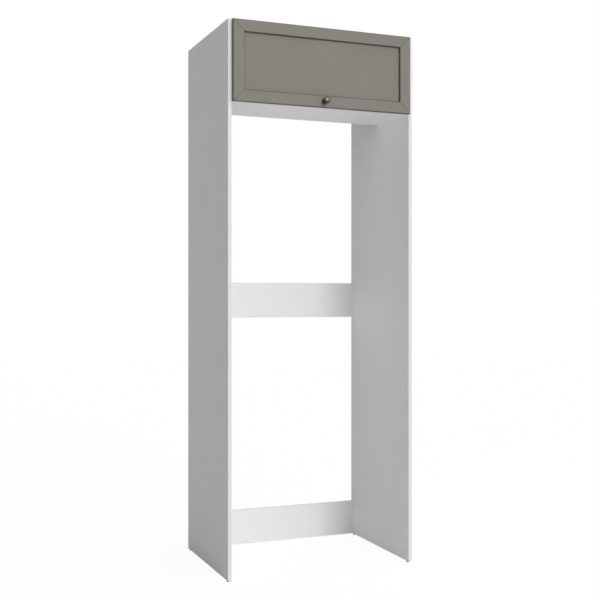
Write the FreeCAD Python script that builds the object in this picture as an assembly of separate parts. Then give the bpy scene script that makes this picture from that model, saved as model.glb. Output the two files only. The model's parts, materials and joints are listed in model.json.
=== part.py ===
import FreeCAD, Part
import math
import os

# Tall kitchen unit that frames a refrigerator: two side panels, two rails across the rear,
# and a shallow cupboard between the panels' heads, closed by a lift-up flap.
# Millimetres. X runs to the right, Y to the rear, Z up. The origin is on the floor, midway
# between the sides, and midway between the knob's face and the panels' rear edges.

# Boards and the bay between the side panels
board = 15.0
edge_band = 0.5
panel_height = 2200.0
panel_depth = 570.0
bay_width = 780.0

# Rails across the rear of the bay
rail_bottom_height = 153.0
rail_middle_height = 158.0
rail_middle_lift = 1018.5

# Cupboard above the bay
module_height = 323.5
module_depth = 290.0
back_sheet = 3.0
back_margin = 1.0

# Flap: a mitred frame round a flat panel
door_thickness = 15.0
door_gap = 3.0
door_side_gap = 1.0
door_top_gap = 1.5
frame_width = 43.0
edge_chamfer = 2.0
panel_recess = 9.5
inner_round = 5.0
panel_sheet = 3.0
groove_depth = 8.0
channel_width = 1.5
channel_depth = 1.0
groove_slack = 0.1
panel_edge_slack = 0.5
spline_length = 26.0
spline_width = 18.0
spline_thickness = 3.0
spline_from_corner = 30.0

# Knob, turned about its own axis, and its screw
knob_rise = 26.0
knob_length = 30.0
knob_foot_radius = 12.5
knob_foot_height = 3.0
knob_neck_radius = 11.0
knob_head_radius = 13.5
knob_rim_height = 3.0
knob_crown = 5.0
knob_screw_bite = 12.0

# Glides under the panels, each on a nail
glide_height = 6.0
glide_side_margin = 1.0
glide_chamfer = 1.0
glide_inset = 19.0
glide_skin = 2.0
glide_nail_radius = 1.1
glide_nail_bite = 18.0

# Screws and the holes they sit in
hole_slack = 0.05
tip_room = 0.5
board_left_at_tip = 4.0
wood_screw_radius = 1.75
wood_head_radius = 3.5
wood_head_height = 1.4
machine_screw_radius = 2.0
machine_head_radius = 4.0
machine_head_height = 2.0
recess_width = 0.9
recess_depth = 0.8

# Cam joints and dowels between the rails and the panels
cam_radius = 7.5
cam_reach = 5.0
cam_inset = 24.0
cam_pitch = 96.0
cam_bolt_radius = 2.2
cam_thread_radius = 2.5
cam_head_radius = 3.0
cam_head_length = 3.0
cam_slot_past_centre = 3.0
cam_slack = 0.1
dowel_radius = 4.0
dowel_in_rail = 20.0
dowel_chamfer = 1.0

# Connectors of the cupboard's own boards, and its back nails
connector_head_radius = 5.0
connector_head_height = 4.0
connector_neck_radius = 3.5
connector_thread_radius = 2.5
connector_bite = 35.0
connector_edge = 45.0
back_nail_radius = 0.8
back_nail_head_radius = 2.0
back_nail_head_height = 0.8
back_nail_bite = 16.0
back_nail_corner = 60.0
back_nails_along = 5
back_nails_up = 2

# Screws from the cupboard into the tall panels
fixing_front = 40.0
fixing_rear = 45.0
fixing_rise = 55.0
fixing_drop = 120.0

# Bumpers on the cupboard's front edges
bumper_radius = 4.0
bumper_rise = 20.0
bumper_clearance = 0.2

# Concealed hinges: cup in the door, arm and plate on the cupboard's top board
hinge_inset = 100.0
cup_radius = 17.5
cup_edge = 3.0
cup_cover = 3.0
cup_floor = 1.0
cup_fit = 0.05
flange_length = 54.0
flange_width = 24.0
flange_thickness = 1.2
flange_screw_edge = 5.0
hinge_pin_radius = 1.25
hinge_pin_seat = 2.2
eye_radius = 2.2
eye_slack = 0.4
running_fit = 0.05
swing_clearance = 0.5
arm_thickness = 2.5
arm_neck_width = 8.0
arm_width = 14.0
plate_thickness = 4.5
plate_width = 40.0
plate_front = 10.0
plate_length = 44.0
plate_screw_edge = 6.5
arm_screw_from_front = 14.0

# Lift stays: lever and link make a parallelogram with the flap
stay_back = 80.0
stay_drop = 30.0
stay_crank = 100.0
stay_pin_stand_off = 12.0
stay_base_sheet = 2.0
stay_case_depth = 12.0
stay_case_wall = 1.6
stay_case_front = 28.0
stay_case_rear = 62.0
stay_case_rise = 18.0
stay_case_fall = 28.0
stay_case_corner = 8.0
stay_case_screw_edge = 8.0
stay_screw_post_wall = 1.5
stay_pin_radius = 4.0
stay_pin_hole_slack = 0.3
stay_boss_radius = 9.0
stay_boss_height = 4.0
friction_pad_radius = 11.0
friction_pad_thickness = 2.0
stay_flange_thickness = 1.5
disc_spring_radius = 10.0
disc_spring_sheet = 0.8
stack_gap = 0.1
lever_half_width = 7.0
link_half_width = 6.0
stay_sheet = 3.0
stay_layer_gap = 0.6
rivet_radius = 2.5
rivet_head_radius = 4.0
rivet_head_height = 1.0
rivet_head_gap = 0.15
open_pivot_slack = 0.3
bracket_sheet = 2.2
bracket_ear_half = 8.0
bracket_half_height = 26.0
bracket_side_margin = 3.0
bracket_screw_edge = 7.0

# Places that follow from the sizes above
half_bay = bay_width / 2
half_width = half_bay + board
module_wall = half_bay - board
panel_foot = glide_height
panel_head = panel_foot + panel_height
front_y = (door_gap + door_thickness + knob_length - panel_depth) / 2
rear_y = front_y + panel_depth
rail_axis_y = rear_y - board / 2
module_floor = panel_head - module_height
module_ceiling = panel_head - board
module_rear = front_y + module_depth
module_board_rear = module_rear - back_sheet
screw_bite = board - board_left_at_tip
door_rear = front_y - door_gap
door_front = door_rear - door_thickness
door_top = panel_head - door_top_gap
door_width = bay_width - 2 * door_side_gap
door_height = door_top - module_floor
door_screw_bite = door_thickness - board_left_at_tip
frame_inner = frame_width + inner_round
groove_floor = frame_inner - groove_depth
knob_z = module_floor + knob_rise

# The flap's axis lies in the hinge cups, so far from the door's top edge that the
# edge turns past the cupboard's front with the swing clearance to spare.
cup_depth = door_thickness - cup_cover
axis_depth = cup_depth - cup_floor - eye_radius - eye_slack
axis_drop = math.sqrt((door_gap + axis_depth - swing_clearance) ** 2 - axis_depth ** 2)
axis_y = door_rear - axis_depth
axis_z = door_top - axis_drop
hinge_x = door_width / 2 - hinge_inset
cup_z = door_top - cup_edge - cup_radius
arm_top = module_ceiling - plate_thickness
arm_bottom = arm_top - arm_thickness

# Pivots of the stays in the Y-Z plane, shut
lever_pivot = (axis_y + stay_back, axis_z - stay_drop)
door_pivot = (door_rear + stay_pin_stand_off, axis_z - stay_crank)
link_pivot = (lever_pivot[0] + door_pivot[0] - axis_y, lever_pivot[1] + door_pivot[1] - axis_z)

# Layers of the stays across X, from the cupboard's wall inwards
case_outer_x = module_wall - stay_base_sheet
case_inner_x = case_outer_x - stay_case_depth
lever_x = (case_inner_x - stay_layer_gap - stay_sheet, case_inner_x - stay_layer_gap)
link_x = (lever_x[0] - stay_layer_gap - stay_sheet, lever_x[0] - stay_layer_gap)
ear_x = (link_x[0] - stay_layer_gap - bracket_sheet, link_x[0] - stay_layer_gap)

sides = ("left", "right")
nodes = {}
cuts = {}


def add(name, *shapes):
    """Put solids into a node."""
    nodes.setdefault(name, []).extend(shapes)


def cut(name, *tools):
    """Note shapes to be taken out of a node when it is written."""
    cuts.setdefault(name, []).extend(tools)


def box(x_span, y_span, z_span):
    """Block between two places along each axis."""
    size = [span[1] - span[0] for span in (x_span, y_span, z_span)]
    return Part.makeBox(*size, FreeCAD.Vector(x_span[0], y_span[0], z_span[0]))


def rod(radius, start, end):
    """Round bar between two points."""
    start = FreeCAD.Vector(*start)
    run = FreeCAD.Vector(*end) - start
    return Part.makeCylinder(radius, run.Length, start, run)


def on_side(side, shape):
    """A shape modelled on the right, or its mirror image on the left."""
    if side == "right":
        return shape
    return shape.mirror(FreeCAD.Vector(0, 0, 0), FreeCAD.Vector(1, 0, 0))


def screw(seat, tip, shank_radius, head_radius, head_height):
    """Screw whose head rests on the seat, with a cross recess in the head."""
    seat = FreeCAD.Vector(*seat)
    run = FreeCAD.Vector(*tip) - seat
    shank = Part.makeCylinder(shank_radius, run.Length)
    head = Part.makeCylinder(head_radius, head_height, FreeCAD.Vector(0, 0, -head_height))
    whole = shank.fuse(head).removeSplitter()
    half = recess_width / 2
    arm = head_radius - recess_width
    floor = (-head_height, recess_depth - head_height)
    slots = [box((-arm, arm), (-half, half), floor), box((-half, half), (-arm, arm), floor)]
    whole = whole.cut(slots)
    whole.Placement = FreeCAD.Placement(seat, FreeCAD.Rotation(FreeCAD.Vector(0, 0, 1), run))
    return whole


def hole(seat, tip, radius):
    """Hole for a shank, a little longer and wider than the shank."""
    seat = FreeCAD.Vector(*seat)
    run = FreeCAD.Vector(*tip) - seat
    return Part.makeCylinder(radius + hole_slack, run.Length + tip_room, seat, run)


def wood_screw(seat, tip):
    """Small pan-head screw for fittings."""
    return screw(seat, tip, wood_screw_radius, wood_head_radius, wood_head_height)


def machine_screw(seat, tip):
    """Metric screw of the knob, the arms and the cupboard."""
    return screw(seat, tip, machine_screw_radius, machine_head_radius, machine_head_height)


def rounded_block(x_span, y_span, z_span, radius):
    """Block whose four edges along X are rounded."""
    block = box(x_span, y_span, z_span)
    along_x = [edge for edge in block.Edges if abs(edge.tangentAt(edge.FirstParameter).x) > 0.5]
    return block.makeFillet(radius, along_x)


def bar(x_span, start, end, half_width):
    """Flat bar with round ends between two points of the Y-Z plane."""
    start = FreeCAD.Vector(x_span[0], *start)
    end = FreeCAD.Vector(x_span[0], *end)
    along = (end - start).normalize() * half_width
    across = FreeCAD.Vector(0, -along.z, along.y)
    outline = [
        Part.LineSegment(start + across, end + across),
        Part.Arc(end + across, end + along, end - across),
        Part.LineSegment(end - across, start - across),
        Part.Arc(start - across, start - along, start + across),
    ]
    wire = Part.Wire([curve.toShape() for curve in outline])
    return Part.Face(wire).extrude(FreeCAD.Vector(x_span[1] - x_span[0], 0, 0))


def tall_panels():
    """Side panels, each with a band glued on its front edge."""
    for side in sides:
        x_span = (half_bay, half_width)
        z_span = (panel_foot, panel_head)
        panel = box(x_span, (front_y + edge_band, rear_y), z_span)
        band = box(x_span, (front_y, front_y + edge_band), z_span)
        add("side_panel_" + side, on_side(side, panel))
        add("panel_edge_band_" + side, on_side(side, band))


def glides():
    """Round glides nailed under the panels' ends."""
    x = half_bay + board / 2
    radius = board / 2 - glide_side_margin
    for side in sides:
        for y in (front_y + glide_inset, rear_y - glide_inset):
            disc = rod(radius, (x, y, 0), (x, y, glide_height))
            rim = min(disc.Edges, key=lambda edge: edge.BoundBox.ZMax)
            disc = disc.makeChamfer(glide_chamfer, [rim])
            foot = (x, y, glide_skin)
            tip = (x, y, panel_foot + glide_nail_bite)
            disc = disc.cut(hole((x, y, panel_foot), foot, glide_nail_radius))
            add("foot_glides", on_side(side, disc))
            add("foot_glide_nails", on_side(side, rod(glide_nail_radius, foot, tip)))
            cut("side_panel_" + side, on_side(side, hole((x, y, panel_foot), tip, glide_nail_radius)))


def cam_joint(rail, side, z):
    """Cam bolt in the panel and cam housing in the rail's rear face."""
    centre_x = half_bay - cam_inset
    head_end = centre_x - cam_head_length / 2
    neck = centre_x + cam_head_length / 2
    axis = (rail_axis_y, z)
    thread = rod(cam_thread_radius, (half_bay, *axis), (half_bay + screw_bite, *axis))
    shaft = rod(cam_bolt_radius, (neck, *axis), (half_bay, *axis))
    head = rod(cam_head_radius, (head_end, *axis), (neck, *axis))
    bolt = thread.fuse([shaft, head])
    cam_front = rail_axis_y - cam_reach
    housing = rod(cam_radius, (centre_x, cam_front, z), (centre_x, rear_y, z))
    slot_end = centre_x - cam_slot_past_centre
    slot = rod(cam_head_radius + cam_slack, (slot_end, *axis), (half_bay, *axis))
    half = recess_width / 2
    arm = cam_radius - cam_reach / 2
    floor = (rear_y - recess_depth, rear_y)
    cross = [
        box((centre_x - arm, centre_x + arm), floor, (z - half, z + half)),
        box((centre_x - half, centre_x + half), floor, (z - arm, z + arm)),
    ]
    housing = housing.cut([slot, *cross])
    pocket = rod(cam_radius + cam_slack, (centre_x, cam_front - cam_slack, z), (centre_x, rear_y, z))
    add("cam_bolts", on_side(side, bolt))
    add("cam_housings", on_side(side, housing))
    thread_hole = hole((half_bay, *axis), (half_bay + screw_bite, *axis), cam_thread_radius)
    cut("side_panel_" + side, on_side(side, thread_hole))
    cut(rail, on_side(side, pocket), on_side(side, slot))


def dowel_joint(rail, side, z):
    """Wooden dowel across the joint of a rail and a panel."""
    inner = (half_bay - dowel_in_rail, rail_axis_y, z)
    seam = (half_bay, rail_axis_y, z)
    outer = (half_bay + screw_bite, rail_axis_y, z)
    dowel = rod(dowel_radius, inner, outer)
    rims = [edge for edge in dowel.Edges if edge.isClosed()]
    add("rail_dowels", on_side(side, dowel.makeChamfer(dowel_chamfer, rims)))
    cut("side_panel_" + side, on_side(side, hole(seam, outer, dowel_radius)))
    cut(rail, on_side(side, hole(seam, inner, dowel_radius)))


def rails():
    """Rails flush with the panels' rear edges, with banded long edges."""
    levels = {
        "rail_bottom": (panel_foot, rail_bottom_height),
        "rail_middle": (panel_foot + rail_middle_lift, rail_middle_height),
    }
    for rail, (foot, height) in levels.items():
        head = foot + height
        x_span = (-half_bay, half_bay)
        y_span = (rear_y - board, rear_y)
        add(rail, box(x_span, y_span, (foot + edge_band, head - edge_band)))
        add("rail_edge_bands", box(x_span, y_span, (foot, foot + edge_band)))
        add("rail_edge_bands", box(x_span, y_span, (head - edge_band, head)))
        middle = (foot + head) / 2
        for side in sides:
            dowel_joint(rail, side, middle)
            for z in (middle - cam_pitch / 2, middle + cam_pitch / 2):
                cam_joint(rail, side, z)


def module_boards():
    """Cupboard boards with banded front edges, and the sheet behind them."""
    y_board = (front_y + edge_band, module_board_rear)
    y_band = (front_y, front_y + edge_band)
    levels = {"module_bottom": (module_floor, module_floor + board), "module_top": (module_ceiling, panel_head)}
    for name, z_span in levels.items():
        add(name, box((-module_wall, module_wall), y_board, z_span))
        add("module_edge_bands", box((-module_wall, module_wall), y_band, z_span))
    for side in sides:
        x_span = (module_wall, half_bay)
        z_span = (module_floor, panel_head)
        add("module_side_" + side, on_side(side, box(x_span, y_board, z_span)))
        add("module_edge_bands", on_side(side, box(x_span, y_band, z_span)))
        for name, (low, high) in levels.items():
            for y in (front_y + connector_edge, module_board_rear - connector_edge):
                module_connector(name, side, y, (low + high) / 2)
    half_back = half_bay - back_margin
    z_back = (module_floor + back_margin, panel_head - back_margin)
    add("module_back", box((-half_back, half_back), (module_board_rear, module_rear), z_back))


def module_connector(name, side, y, z):
    """One-piece connector through a cupboard side into the end of a board."""
    face = (half_bay, y, z)
    shoulder = (half_bay - connector_head_height, y, z)
    seam = (module_wall, y, z)
    tip = (module_wall - connector_bite, y, z)
    head = rod(connector_head_radius, face, shoulder)
    neck = rod(connector_neck_radius, shoulder, seam)
    thread = rod(connector_thread_radius, seam, tip)
    add("module_connectors", on_side(side, head.fuse([neck, thread])))
    head_hole = rod(connector_head_radius + hole_slack, face, shoulder)
    cut("module_side_" + side, on_side(side, head_hole))
    cut("module_side_" + side, on_side(side, rod(connector_neck_radius + hole_slack, face, seam)))
    cut(name, on_side(side, hole(seam, tip, connector_thread_radius)))


def spread(low, high, count):
    """Evenly spaced places from low to high."""
    return [low + (high - low) * step / (count - 1) for step in range(count)]


def back_nail(board_name, x, z):
    """Nail through the back sheet into a board's rear edge."""
    seat = (x, module_rear, z)
    tip = (x, module_board_rear - back_nail_bite, z)
    head = rod(back_nail_head_radius, seat, (x, module_rear + back_nail_head_height, z))
    add("back_nails", rod(back_nail_radius, tip, seat).fuse(head))
    shank_hole = hole(seat, tip, back_nail_radius)
    cut("module_back", shank_hole)
    cut(board_name, shank_hole)


def back_nails():
    """Nails round the edge of the back sheet."""
    reach = half_bay - back_nail_corner
    for x in spread(-reach, reach, back_nails_along):
        back_nail("module_bottom", x, module_floor + board / 2)
        back_nail("module_top", x, panel_head - board / 2)
    wall_x = half_bay - board / 2
    for z in spread(module_floor + back_nail_corner, panel_head - back_nail_corner, back_nails_up):
        back_nail("module_side_left", -wall_x, z)
        back_nail("module_side_right", wall_x, z)


def module_fixings():
    """Screws from inside the cupboard into the tall panels."""
    for side in sides:
        for y in (front_y + fixing_front, module_board_rear - fixing_rear):
            for z in (module_floor + fixing_rise, panel_head - fixing_drop):
                seat = (module_wall, y, z)
                tip = (half_bay + screw_bite, y, z)
                add("module_fixing_screws", on_side(side, machine_screw(seat, tip)))
                shank_hole = on_side(side, hole(seat, tip, machine_screw_radius))
                cut("module_side_" + side, shank_hole)
                cut("side_panel_" + side, shank_hole)


def bumpers():
    """Soft discs that the shut flap rests near."""
    x = half_bay - board / 2
    z = module_floor + bumper_rise
    for side in sides:
        disc = rod(bumper_radius, (x, front_y, z), (x, door_rear + bumper_clearance, z))
        add("door_bumpers", on_side(side, disc))


def frame_member(length, half_span):
    """Door frame member along X below the door's centre, mitred at both ends.

    The member's outer edge lies half_span below the centre, its rear face in the plane Y = 0.
    Its inner front edge is rounded and falls straight to the panel.
    """
    front = door_thickness
    face = front - panel_recess
    lip = face - panel_sheet - 2 * groove_slack
    half = length / 2

    def point(inward, depth):
        return FreeCAD.Vector(-half, -depth, inward - half_span)

    round_end = point(frame_inner, front - inner_round)
    round_start = point(frame_width, front)
    eighth = inner_round * math.sqrt(0.5)
    round_middle = point(frame_width + eighth, front - inner_round + eighth)
    corners_from_face = [
        point(edge_chamfer, front),
        point(0, front - edge_chamfer),
        point(0, 0),
        point(frame_inner, 0),
        point(frame_inner, lip),
        point(groove_floor, lip),
        point(groove_floor, face),
        point(frame_inner, face),
        round_end,
    ]
    rounding = Part.Arc(round_end, round_middle, round_start).toShape()
    edges = Part.makePolygon([round_start] + corners_from_face).Edges
    strip = Part.Face(Part.Wire(edges + [rounding])).extrude(FreeCAD.Vector(length, 0, 0))
    short_half = half - frame_inner
    corners = [(-half, 0), (half, 0), (short_half, frame_inner), (-short_half, frame_inner), (-half, 0)]
    outline = [FreeCAD.Vector(x, 0, inward - half_span) for x, inward in corners]
    mitres = Part.Face(Part.makePolygon(outline)).extrude(FreeCAD.Vector(0, -front, 0))
    return strip.common(mitres)


def door_frame():
    """Four mitred members round the door's centre, with a spline in each mitre."""
    centre = FreeCAD.Vector(0, door_rear, module_floor + door_height / 2)
    members = {
        "door_rail_bottom": (door_width, door_height / 2, 0),
        "door_stile_left": (door_height, door_width / 2, 90),
        "door_rail_top": (door_width, door_height / 2, 180),
        "door_stile_right": (door_height, door_width / 2, 270),
    }
    for name, (length, half_span, turn) in members.items():
        member = frame_member(length, half_span)
        member.Placement = FreeCAD.Placement(centre, FreeCAD.Rotation(FreeCAD.Vector(0, 1, 0), turn))
        add(name, member)
    for side in sides:
        for rail, sign in (("door_rail_bottom", -1), ("door_rail_top", 1)):
            for slack in (0, hole_slack):
                spline = mitre_spline(sign, slack, centre)
                if slack:
                    cut(rail, on_side(side, spline))
                    cut("door_stile_" + side, on_side(side, spline))
                else:
                    add("mitre_splines", on_side(side, spline))


def mitre_spline(sign, slack, centre):
    """Flat key across a right-hand mitre, at the top (1) or the bottom (-1) of the door."""
    half_length = spline_length / 2 + slack
    half_across = spline_width / 2 + slack
    half_thick = spline_thickness / 2 + slack
    key = box((-half_length, half_length), (-half_thick, half_thick), (-half_across, half_across))
    inset = spline_from_corner / math.sqrt(2)
    place = FreeCAD.Vector(
        door_width / 2 - inset,
        centre.y - door_thickness / 2,
        centre.z + sign * (door_height / 2 - inset),
    )
    key.Placement = FreeCAD.Placement(place, FreeCAD.Rotation(FreeCAD.Vector(0, 1, 0), -45 * sign))
    return key


def door_field(inset, y_span):
    """Block as wide and high as the door less an inset all round."""
    half_x = door_width / 2 - inset
    return box((-half_x, half_x), y_span, (module_floor + inset, door_top - inset))


def door_panel():
    """Flat panel held in the grooves of the frame, with a fine channel along the frame's inner edge."""
    face = door_front + panel_recess + groove_slack
    sheet = door_field(groove_floor + panel_edge_slack, (face, face + panel_sheet))
    depth = (face, face + channel_depth)
    channel = door_field(frame_inner, depth).cut(door_field(frame_inner + channel_width, depth))
    add("door_panel", sheet.cut(channel))


def knob():
    """Turned knob on the bottom rail, held by a screw from behind."""
    rim_end = knob_length - knob_crown
    rim_start = rim_end - knob_rim_height
    cove_middle = (knob_foot_height + rim_start) / 2
    crown_radius = (knob_head_radius ** 2 + knob_crown ** 2) / (2 * knob_crown)
    half_head = knob_head_radius / 2
    crown_middle = knob_length - crown_radius + math.sqrt(crown_radius ** 2 - half_head ** 2)

    def point(radius, out):
        return FreeCAD.Vector(radius, door_front - out, knob_z)

    outline = [
        Part.LineSegment(point(0, 0), point(knob_foot_radius, 0)),
        Part.LineSegment(point(knob_foot_radius, 0), point(knob_foot_radius, knob_foot_height)),
        Part.Arc(
            point(knob_foot_radius, knob_foot_height),
            point(knob_neck_radius, cove_middle),
            point(knob_head_radius, rim_start),
        ),
        Part.LineSegment(point(knob_head_radius, rim_start), point(knob_head_radius, rim_end)),
        Part.Arc(point(knob_head_radius, rim_end), point(half_head, crown_middle), point(0, knob_length)),
        Part.LineSegment(point(0, knob_length), point(0, 0)),
    ]
    profile = Part.Face(Part.Wire([curve.toShape() for curve in outline]))
    add("knob", profile.revolve(point(0, 0), FreeCAD.Vector(0, 1, 0), 360))
    seat = (0, door_rear, knob_z)
    tip = (0, door_front - knob_screw_bite, knob_z)
    add("knob_screw", machine_screw(seat, tip))
    shank_hole = hole(seat, tip, machine_screw_radius)
    cut("knob", shank_hole)
    cut("door_rail_bottom", shank_hole)


def hinge_cup(side):
    """Cup sunk in the door's top rail, with a flange, its screws and the hinge pin."""
    cup_end = door_rear - cup_depth
    bowl = rod(cup_radius, (hinge_x, cup_end, cup_z), (hinge_x, door_rear, cup_z))
    flange_y = door_rear + flange_thickness
    half_flange = flange_length / 2
    flange_rise = flange_width / 2
    flange = box(
        (hinge_x - half_flange, hinge_x + half_flange),
        (door_rear, flange_y),
        (cup_z - flange_rise, cup_z + flange_rise),
    )
    half_slot = arm_neck_width / 2 + eye_slack
    sweep = math.hypot(arm_thickness / 2, axis_z - arm_bottom) + eye_slack
    slot = box(
        (hinge_x - half_slot, hinge_x + half_slot),
        (cup_end + cup_floor, flange_y),
        (axis_z - sweep, axis_z + eye_radius + eye_slack),
    )
    half_pin = half_slot + hinge_pin_seat
    pin_ends = ((hinge_x - half_pin, axis_y, axis_z), (hinge_x + half_pin, axis_y, axis_z))
    cup = bowl.fuse(flange).removeSplitter().cut([slot, rod(hinge_pin_radius + hole_slack, *pin_ends)])
    add("hinge_cup_" + side, on_side(side, cup))
    add("hinge_pins", on_side(side, rod(hinge_pin_radius, *pin_ends)))
    bore = rod(
        cup_radius + cup_fit,
        (hinge_x, cup_end - cup_fit, cup_z),
        (hinge_x, door_rear, cup_z),
    )
    cut("door_rail_top", on_side(side, bore))
    for x in (hinge_x - half_flange + flange_screw_edge, hinge_x + half_flange - flange_screw_edge):
        seat = (x, flange_y, cup_z)
        tip = (x, door_rear - door_screw_bite, cup_z)
        add("hinge_cup_screws", on_side(side, wood_screw(seat, tip)))
        shank_hole = on_side(side, hole(seat, tip, wood_screw_radius))
        cut("hinge_cup_" + side, shank_hole)
        cut("door_rail_top", shank_hole)


def hinge_arm(side):
    """Goose-neck arm from the pin to a plate under the cupboard's top board."""
    half_neck = arm_neck_width / 2
    half_arm = arm_width / 2
    half_thick = arm_thickness / 2
    neck_x = (hinge_x - half_neck, hinge_x + half_neck)
    plate_y = (front_y + plate_front, front_y + plate_front + plate_length)
    eye = rod(eye_radius, (neck_x[0], axis_y, axis_z), (neck_x[1], axis_y, axis_z))
    neck = box(neck_x, (axis_y - half_thick, axis_y + half_thick), (arm_bottom, axis_z))
    reach = box(neck_x, (axis_y - half_thick, plate_y[0]), (arm_bottom, arm_top))
    blade = box((hinge_x - half_arm, hinge_x + half_arm), plate_y, (arm_bottom, arm_top))
    arm = eye.fuse([neck, reach, blade]).removeSplitter()
    pin_hole = rod(hinge_pin_radius + running_fit, (neck_x[0], axis_y, axis_z), (neck_x[1], axis_y, axis_z))
    add("hinge_arm_" + side, on_side(side, arm.cut(pin_hole)))
    half_plate = plate_width / 2
    plate = box((hinge_x - half_plate, hinge_x + half_plate), plate_y, (arm_top, module_ceiling))
    add("hinge_plate_" + side, on_side(side, plate))
    arm_seat = (hinge_x, plate_y[0] + arm_screw_from_front, arm_bottom)
    arm_tip = (arm_seat[0], arm_seat[1], module_ceiling - tip_room)
    add("hinge_arm_screws", on_side(side, machine_screw(arm_seat, arm_tip)))
    shank_hole = on_side(side, hole(arm_seat, arm_tip, machine_screw_radius))
    cut("hinge_arm_" + side, shank_hole)
    cut("hinge_plate_" + side, shank_hole)
    middle_y = (plate_y[0] + plate_y[1]) / 2
    for x in (hinge_x - half_plate + plate_screw_edge, hinge_x + half_plate - plate_screw_edge):
        seat = (x, middle_y, arm_top)
        tip = (x, middle_y, module_ceiling + screw_bite)
        add("hinge_plate_screws", on_side(side, wood_screw(seat, tip)))
        shank_hole = on_side(side, hole(seat, tip, wood_screw_radius))
        cut("hinge_plate_" + side, shank_hole)
        cut("module_top", shank_hole)


def stay_case(side):
    """Base on the cupboard's wall with a boss for the lever's pin, and the cover over it."""
    y, z = lever_pivot
    y_span = (y - stay_case_front, y + stay_case_rear)
    z_span = (z - stay_case_fall, z + stay_case_rise)
    sheet = rounded_block((case_outer_x, module_wall), y_span, z_span, stay_case_corner)
    boss_x = case_outer_x - stay_boss_height
    boss = rod(stay_boss_radius, (boss_x, y, z), (case_outer_x, y, z))
    bearing = rod(stay_pin_radius + running_fit, (boss_x, y, z), (case_outer_x, y, z))
    base = sheet.fuse(boss).removeSplitter().cut(bearing)
    wall = stay_case_wall
    shell = rounded_block((case_inner_x, case_outer_x), y_span, z_span, stay_case_corner)
    inside = rounded_block(
        (case_inner_x + wall, case_outer_x),
        (y_span[0] + wall, y_span[1] - wall),
        (z_span[0] + wall, z_span[1] - wall),
        stay_case_corner - wall,
    )
    pin_hole = rod(stay_pin_radius + stay_pin_hole_slack, (case_inner_x, y, z), (case_inner_x + wall, y, z))
    cover = shell.cut([inside, pin_hole])
    edge = stay_case_screw_edge
    places = (
        (y_span[1] - edge, z_span[0] + edge),
        (y_span[1] - edge, z_span[1] - edge),
        (y_span[0] + edge, z_span[1] - edge),
    )
    for screw_y, screw_z in places:
        seat = (case_inner_x, screw_y, screw_z)
        tip = (module_wall + screw_bite, screw_y, screw_z)
        post_radius = wood_screw_radius + hole_slack + stay_screw_post_wall
        post = rod(post_radius, seat, (case_outer_x, screw_y, screw_z))
        cover = cover.fuse(post).removeSplitter()
        add("stay_case_screws", on_side(side, wood_screw(seat, tip)))
        shank_hole = on_side(side, hole(seat, tip, wood_screw_radius))
        for name in ("stay_cover_", "stay_base_", "module_side_"):
            cut(name + side, shank_hole)
    add("stay_base_" + side, on_side(side, base))
    add("stay_cover_" + side, on_side(side, cover))


def stay_friction(side):
    """Pivot pin whose flange a disc spring presses on a friction pad."""
    y, z = lever_pivot
    pad_x = (case_outer_x - stay_boss_height - friction_pad_thickness, case_outer_x - stay_boss_height)
    pad = rod(friction_pad_radius, (pad_x[0], y, z), (pad_x[1], y, z))
    pad_hole = rod(stay_pin_radius + stay_pin_hole_slack, (pad_x[0], y, z), (pad_x[1], y, z))
    add("stay_friction_pads", on_side(side, pad.cut(pad_hole)))
    flange_x = (pad_x[0] - stack_gap - stay_flange_thickness, pad_x[0] - stack_gap)
    flange = rod(friction_pad_radius, (flange_x[0], y, z), (flange_x[1], y, z))
    shank = rod(stay_pin_radius, (lever_x[0], y, z), (case_outer_x - stack_gap, y, z))
    cap = rod(stay_pin_radius + rivet_head_height, (lever_x[0] - rivet_head_height, y, z), (lever_x[0], y, z))
    add("stay_pin_" + side, on_side(side, shank.fuse([flange, cap])))
    spring_x = (case_inner_x + stay_case_wall, flange_x[0] - stack_gap)
    add("stay_disc_springs", on_side(side, disc_spring(spring_x, y, z)))


def disc_spring(x_span, y, z):
    """Conical washer, wide at the cover and narrow at the flange."""
    low = stay_pin_radius + stay_pin_hole_slack
    slope_x = x_span[1] - x_span[0] - disc_spring_sheet
    corners = [
        (x_span[0], disc_spring_radius),
        (x_span[0] + disc_spring_sheet, disc_spring_radius),
        (x_span[1], low),
        (x_span[0] + slope_x, low),
        (x_span[0], disc_spring_radius),
    ]
    points = [FreeCAD.Vector(x, y + radius, z) for x, radius in corners]
    face = Part.Face(Part.makePolygon(points))
    return face.revolve(FreeCAD.Vector(0, y, z), FreeCAD.Vector(1, 0, 0), 360)


def rivet(x_span, place, head_at_both_ends=True):
    """Pin along X at a point of the Y-Z plane, with a flat head at its high-X end or at both."""
    y, z = place
    low, high = x_span
    pin = rod(rivet_radius, (low, y, z), (high, y, z))
    heads = [rod(rivet_head_radius, (high, y, z), (high + rivet_head_height, y, z))]
    if head_at_both_ends:
        heads.append(rod(rivet_head_radius, (low - rivet_head_height, y, z), (low, y, z)))
    return pin.fuse(heads)


def pin_hole_at(x_span, place, radius):
    """Hole along X at a point of the Y-Z plane."""
    return rod(radius, (x_span[0], *place), (x_span[1], *place))


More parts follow.
